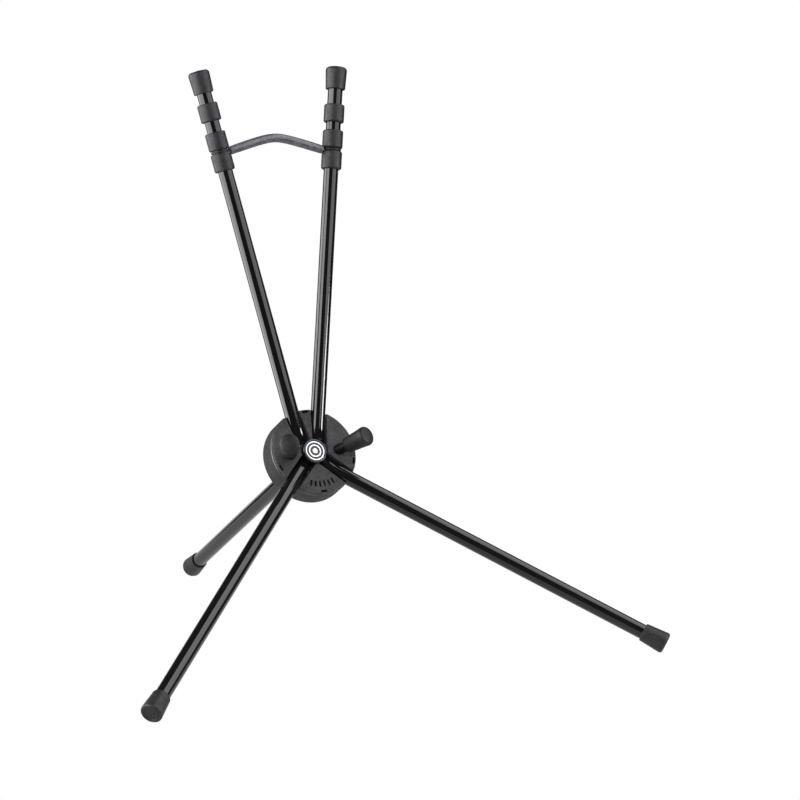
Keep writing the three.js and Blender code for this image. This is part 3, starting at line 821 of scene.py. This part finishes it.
# ---- struts -------------------------------------------------------------------------------------
def hinged_tube(pivot, length):
    """A tube whose hinge end is rounded about its pin."""
    inner = TUBE_RADIUS - TUBE_WALL
    end = length - CAP_FLOOR - GAP

    def lift(angle, radius, height):
        if height > 0:
            return 0
        return pivot - math.sqrt(TUBE_RADIUS ** 2 - (radius * math.sin(angle)) ** 2)

    # Heights up to zero are measured from the rounded end's own surface.
    profile = [(inner, 0), (TUBE_RADIUS - TUBE_CHAMFER, 0), (TUBE_RADIUS, 0)]
    profile += [(TUBE_RADIUS, pivot + HINGE_REACH), (TUBE_RADIUS, end), (inner, end)]
    points, faces = turned(profile, closed=True, lift=lift)
    # The third ring, the outside of the rounded end, sits back by the chamfer.
    for i in range(2 * TUBE_SIDES, 3 * TUBE_SIDES):
        x, y, z = points[i]
        points[i] = (x, y, z + TUBE_CHAMFER)
    return points, faces


def straight_tube(start, end):
    inner = TUBE_RADIUS - TUBE_WALL
    return turned([(inner, start), (TUBE_RADIUS, start), (TUBE_RADIUS, end), (inner, end)], closed=True)


def foot_cap(end):
    """A cap that widens to its rounded rim, with a shallow dish in its end."""
    mouth = end - FOOT_CAP_LENGTH
    floor = end - CAP_FLOOR
    dish = end - FOOT_DISH_DEPTH
    return turned(rounded([
        (0, floor), (CAP_BORE, floor), (CAP_BORE, mouth, BORE_ROUND),
        (FOOT_MOUTH_RADIUS, mouth, 0.5),
        (FOOT_MOUTH_RADIUS + FOOT_LIP_STEP, mouth + FOOT_LIP_LENGTH, 0.4),
        (FOOT_END_RADIUS, end, FOOT_RIM_ROUND),
        (FOOT_DISH_RADIUS, end, 0.1), (FOOT_DISH_RADIUS - FOOT_DISH_SLOPE, dish, 0.1), (0, dish),
    ], steps=7))


def arm_cap(mouth):
    """A cap with a low dome."""
    end = mouth + ARM_CAP_LENGTH
    floor = end - CAP_FLOOR
    return turned(rounded([
        (0, floor), (CAP_BORE, floor), (CAP_BORE, mouth, BORE_ROUND),
        (ARM_CAP_MOUTH_RADIUS, mouth, 0.7),
        (ARM_CAP_END_RADIUS, end - ARM_CAP_DOME, ARM_CAP_ROUND), (0, end),
    ], steps=8))


def rubber_ring(start):
    end = start + RING_LENGTH
    return turned(rounded([
        (CAP_BORE, start, 0.2), (RING_RADIUS, start, RING_ROUND),
        (RING_RADIUS, end, RING_ROUND), (CAP_BORE, end, 0.2),
    ], closed=True, steps=7), closed=True)


def add_foot(name, length, matrix, body):
    """Adds a foot cap, flattened where it stands on the floor."""
    made = add_piece(f"{name}_foot", foot_cap(length), matrix, foot_rubber, body,
                     f"{name}_foot_cap")
    for vertex in made.data.vertices:
        vertex.co.z = max(vertex.co.z, 0)
    made.data.update()


def rear_leg_length():
    """How long the rear leg is for its foot's rim to stand on the floor by its flat."""
    fall = -(REAR_LEG.to_3x3() @ Vector((0, 0, 1))).normalized().z
    rim_drop = (FOOT_END_RADIUS - FOOT_RIM_ROUND) * math.sqrt(1 - fall ** 2) + FOOT_RIM_ROUND
    return (hub_origin.z / MM - rim_drop + FOOT_FLAT_DEPTH) / fall + FOOT_RIM_ROUND


rear_length = rear_leg_length()
rear_tube = straight_tube(-REAR_SOCKET_TOP + GAP, rear_length - CAP_FLOOR - GAP)
add_piece("rear_tube", rear_tube, REAR_LEG, paint, "stand_body", "rear_leg_tube")
add_foot("rear", rear_length, REAR_LEG, "stand_body")

for name, side in SIDES:
    leg_body = f"{name}_leg"
    add_piece(f"{name}_leg_pipe", hinged_tube(LEG_PIVOT, LEG_LENGTH), LEGS[name], paint, leg_body,
              f"{name}_leg_tube")
    add_foot(name, LEG_LENGTH, LEGS[name], leg_body)

    arm_body = f"{name}_arm"
    add_piece(f"{name}_arm_pipe", hinged_tube(ARM_PIVOT, ARM_LENGTH), ARMS[name], paint, arm_body,
              f"{name}_arm_tube")
    for ring, start in RING_STARTS[name].items():
        add_piece(f"{name}_{ring}_soft", rubber_ring(start), ARMS[name], cap_rubber, arm_body,
                  f"{name}_{ring}")
    add_piece(f"{name}_arm_end", arm_cap(ARM_CAP_MOUTHS[name]), ARMS[name], cap_rubber, arm_body,
              f"{name}_arm_cap")


# ---- strap --------------------------------------------------------------------------------------
STRAP_STEPS = 128
STRAP_SIDES = 40
STRAP_INSET = 6.8  # from an arm's axis to where the strap's neck starts
NECK_RADIUS = 1
NECK_LENGTH = 1.7
SHOULDER_LENGTH = 1.1
arm_along = strut_direction(ARM_AZIMUTH, 1)
strap_up = Vector((0, arm_along.y, arm_along.z)).normalized()
strap_front = Vector((1, 0, 0)).cross(strap_up)


def groove_middle(name):
    """How far along an arm the groove between its two lower rings is."""
    starts = RING_STARTS[name]
    return (starts["strap_ring_lower"] + RING_LENGTH + starts["strap_ring_upper"]) / 2


def strap_end(name, side):
    """The strap's end in an arm's groove, on the side that faces the other arm."""
    end = HUB.inverted() @ ARMS[name] @ Vector((0, 0, groove_middle(name)))
    return end - Vector((side * STRAP_INSET, 0, 0))


def strap_height(place):
    """Height of the arch, from 0 at its ends to 1 in the middle; place runs from -1 to 1."""
    def bow(x):
        return math.sqrt(x * x + STRAP_BEND ** 2)

    return 1 - (bow(place) - bow(0)) / (bow(1) - bow(0))


def strap_point(place):
    base = strap_end("left", -1).lerp(strap_end("right", 1), (place + 1) / 2)
    return base + strap_up * STRAP_ARCH * strap_height(place)


def strap_radius(from_end):
    """Thin in the groove, then a blunt shoulder, then round and slightly thicker to the middle."""
    body = STRAP_END_RADIUS + (STRAP_RADIUS - STRAP_END_RADIUS) * min(1, from_end / STRAP_TAPER)
    along = max(0, min(1, (from_end - NECK_LENGTH) / SHOULDER_LENGTH))
    return NECK_RADIUS + (body - NECK_RADIUS) * math.sqrt(1 - (1 - along) ** 2)


def strap_shape():
    """The whole strap. Its points lie closest together at its ends, where it changes most."""
    path = [strap_point(-math.cos(math.pi * i / STRAP_STEPS)) for i in range(STRAP_STEPS + 1)]
    frames = []
    for i in range(len(path)):
        ahead = path[min(i + 1, len(path) - 1)] - path[max(i - 1, 0)]
        frames.append((strap_front.cross(ahead.normalized()), strap_front))
    lengths = [0.0]
    for a, b in zip(path, path[1:]):
        lengths.append(lengths[-1] + (b - a).length)

    def section(i):
        radius = strap_radius(min(lengths[i], lengths[-1] - lengths[i]))
        turns = [2 * math.pi * k / STRAP_SIDES for k in range(STRAP_SIDES)]
        return [(radius * math.cos(turn), radius * math.sin(turn)) for turn in turns]

    return swept(path, section, frames)


def eyelet_shape(name):
    """A flat ring round the arm, in its groove."""
    low = groove_middle(name) - EYELET_THICKNESS / 2
    high = low + EYELET_THICKNESS
    return turned(rounded([
        (CAP_BORE, low, 0.1), (EYELET_RADIUS, low, EYELET_ROUND),
        (EYELET_RADIUS, high, EYELET_ROUND), (CAP_BORE, high, 0.1),
    ], closed=True, steps=4), closed=True)


strap = add_piece("strap_band", strap_shape(), HUB, strap_rubber, "left_arm", "strap")
# The eyelets belong to the strap but take the much darker peg rubber: painted shade for the narrow
# groove between the rings.
for name, _ in SIDES:
    add_piece(f"{name}_strap_eyelet", eyelet_shape(name), ARMS[name], peg_rubber, f"{name}_arm",
              "strap")


def squash_strap():
    """Gives the strap a mesh of its own; the places of its two ends are worked out but not used."""
    left_end = HUB @ strap_point(-1)
    right_end = HUB @ strap_point(1)
    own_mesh(strap)


squash_strap()

# ---- carried-over CAD nodes ---------------------------------------------------------------------
CARRIED = {
    "plug": housing_plastic,
    "pin": zinc,
    "screw": zinc,
    "disc": zinc,
    "spring": zinc,
}
for name, node in frame["nodes"].items():
    for word, material in CARRIED.items():
        if name.endswith(word):
            node.data.materials.clear()
            node.data.materials.append(material)

# ---- stage --------------------------------------------------------------------------------------
TABLE_RADIUS = 0.5
TABLE_SIDES = 64
TABLE_DROP = 0.0004  # how far under the feet it lies
TABLE_GLOSS = 0.8
TABLE_LIGHT = 2.3
BACKDROP_HALF = 30
BACKDROP_DROP = 0.3  # the same, below the struts when they are folded
ROOM_LIGHT = 0.06
SCREEN_DISTANCE = 1.2
PANEL_HEIGHT = 1.45
PANEL_RIGHT = (0.36, 1.3)  # its near and far edges, to the right of the stand
PANEL_FRONT = (-1.0, 0.85)  # its back and front edges, towards the camera
PANEL_LIGHT = 2.9


def even_light(name, strength):
    """A surface that glows white by the same amount from every side."""
    material = bpy.data.materials.new(name)
    material.use_nodes = True
    tree = material.node_tree
    even = tree.nodes.new("ShaderNodeEmission")
    even.inputs["Strength"].default_value = strength
    tree.links.new(even.outputs["Emission"], tree.nodes["Material Output"].inputs["Surface"])
    return material


def add_stage_mesh(name, points, faces, strength):
    mesh = bpy.data.meshes.new(name)
    mesh.from_pydata(points, [], faces)
    mesh.materials.append(even_light(name, strength))
    made = bpy.data.objects.new(name, mesh)
    bpy.context.scene.collection.objects.link(made)
    return made


def add_backdrop():
    """The white that the camera sees under the stand. Nothing else sees it."""
    half = BACKDROP_HALF
    corners = [(-half, -half), (half, -half), (half, half), (-half, half)]
    square = [(x, y, -BACKDROP_DROP) for x, y in corners]
    backdrop = add_stage_mesh("backdrop", square, [range(4)], 1)
    backdrop.visible_glossy = False
    backdrop.visible_diffuse = False
    backdrop.visible_shadow = False


def add_table(name, strength, gloss):
    """A bright table top that only gloss sees, or that only matte surfaces do."""
    circle = []
    for i in range(TABLE_SIDES):
        turn = 2 * math.pi * i / TABLE_SIDES
        circle.append((TABLE_RADIUS * math.cos(turn), TABLE_RADIUS * math.sin(turn), -TABLE_DROP))
    table = add_stage_mesh(name, circle, [range(TABLE_SIDES)], strength)
    table.visible_camera = False
    table.visible_glossy = gloss
    table.visible_diffuse = not gloss


def stand_point(turn, distance, height):
    """A place round the stand; turn is in degrees to the left of the way back to the camera."""
    angle = math.radians(turn)
    out = view_back * math.cos(angle) - view_right * math.sin(angle)
    return out * distance + Vector((0, 0, height))


def add_screen(name, columns, strength):
    """A glowing upright screen, folded at its columns, each given as turn, low end and high end."""
    low = [stand_point(turn, SCREEN_DISTANCE, bottom) for turn, bottom, top in columns]
    high = [stand_point(turn, SCREEN_DISTANCE, top) for turn, bottom, top in columns]
    count = len(columns)
    faces = [(i, i + 1, count + i + 1, count + i) for i in range(count - 1)]
    screen = add_stage_mesh(name, low + high, faces, strength)
    screen.visible_camera = False
    screen.visible_diffuse = False


def add_high_panel():
    """A level glowing panel, high up on the right."""
    near, far = PANEL_RIGHT
    back, front = PANEL_FRONT
    corners = [(near, front), (near, back), (far, back), (far, front)]
    points = [
        view_right * across + view_back * ahead + Vector((0, 0, PANEL_HEIGHT))
        for across, ahead in corners
    ]
    add_stage_mesh("high_panel", points, [range(4)], PANEL_LIGHT).visible_camera = False


def add_soft_lamp(name, place, size, power):
    """Soft light on the stand that gloss does not show; size in metres and power in watts."""
    data = bpy.data.lights.new(name, "AREA")
    data.size = size
    data.energy = power
    lamp = bpy.data.objects.new(name, data)
    lamp.location = place
    lamp.rotation_mode = "QUATERNION"
    lamp.rotation_quaternion = (hub_origin - place).to_track_quat("-Z", "Y")
    lamp.visible_glossy = False
    bpy.context.scene.collection.objects.link(lamp)


def add_world():
    """White behind the stand, and a dim room round it."""
    world = bpy.data.worlds.new("studio")
    world.use_nodes = True
    tree = world.node_tree
    tree.nodes.clear()
    output = tree.nodes.new("ShaderNodeOutputWorld")
    seen = tree.nodes.new("ShaderNodeBackground")
    seen.inputs["Color"].default_value = (1, 1, 1, 1)
    room = tree.nodes.new("ShaderNodeBackground")
    room.inputs["Color"].default_value = (1, 1, 1, 1)
    room.inputs["Strength"].default_value = ROOM_LIGHT
    path = tree.nodes.new("ShaderNodeLightPath")
    mix = tree.nodes.new("ShaderNodeMixShader")
    tree.links.new(path.outputs["Is Camera Ray"], mix.inputs["Fac"])
    tree.links.new(room.outputs["Background"], mix.inputs[1])
    tree.links.new(seen.outputs["Background"], mix.inputs[2])
    tree.links.new(mix.outputs["Shader"], output.inputs["Surface"])
    bpy.context.scene.world = world


add_backdrop()
add_table("table_gloss", TABLE_GLOSS, True)
add_table("table_light", TABLE_LIGHT, False)
left_columns = [(118, -0.35, 1.4), (85, -0.35, 1.4), (53, -0.1, 1.4), (26, 0.5, 1.4)]
right_columns = [(-34, 0.46, 1.3), (-60, 0.46, 1.3), (-88, 0.46, 1.3), (-118, 0.68, 1.3)]
add_screen("left_screen", left_columns, strength=5.9)
add_screen("right_screen", right_columns, strength=2.6)
add_screen("right_strip", [(-70, 0.2, 0.42), (-86, 0.2, 0.42)], strength=24)
add_screen("back_screen", [(142, -0.1, 0.3), (172, -0.1, 0.3)], strength=0.9)
add_high_panel()
add_soft_lamp("ceiling", Vector((0, 0, 2.6)), size=3.4, power=30)
add_soft_lamp("front_lamp", stand_point(0, 1.7, 1.3), size=1.2, power=42)
add_world()

bpy.context.scene.view_settings.view_transform = "Standard"
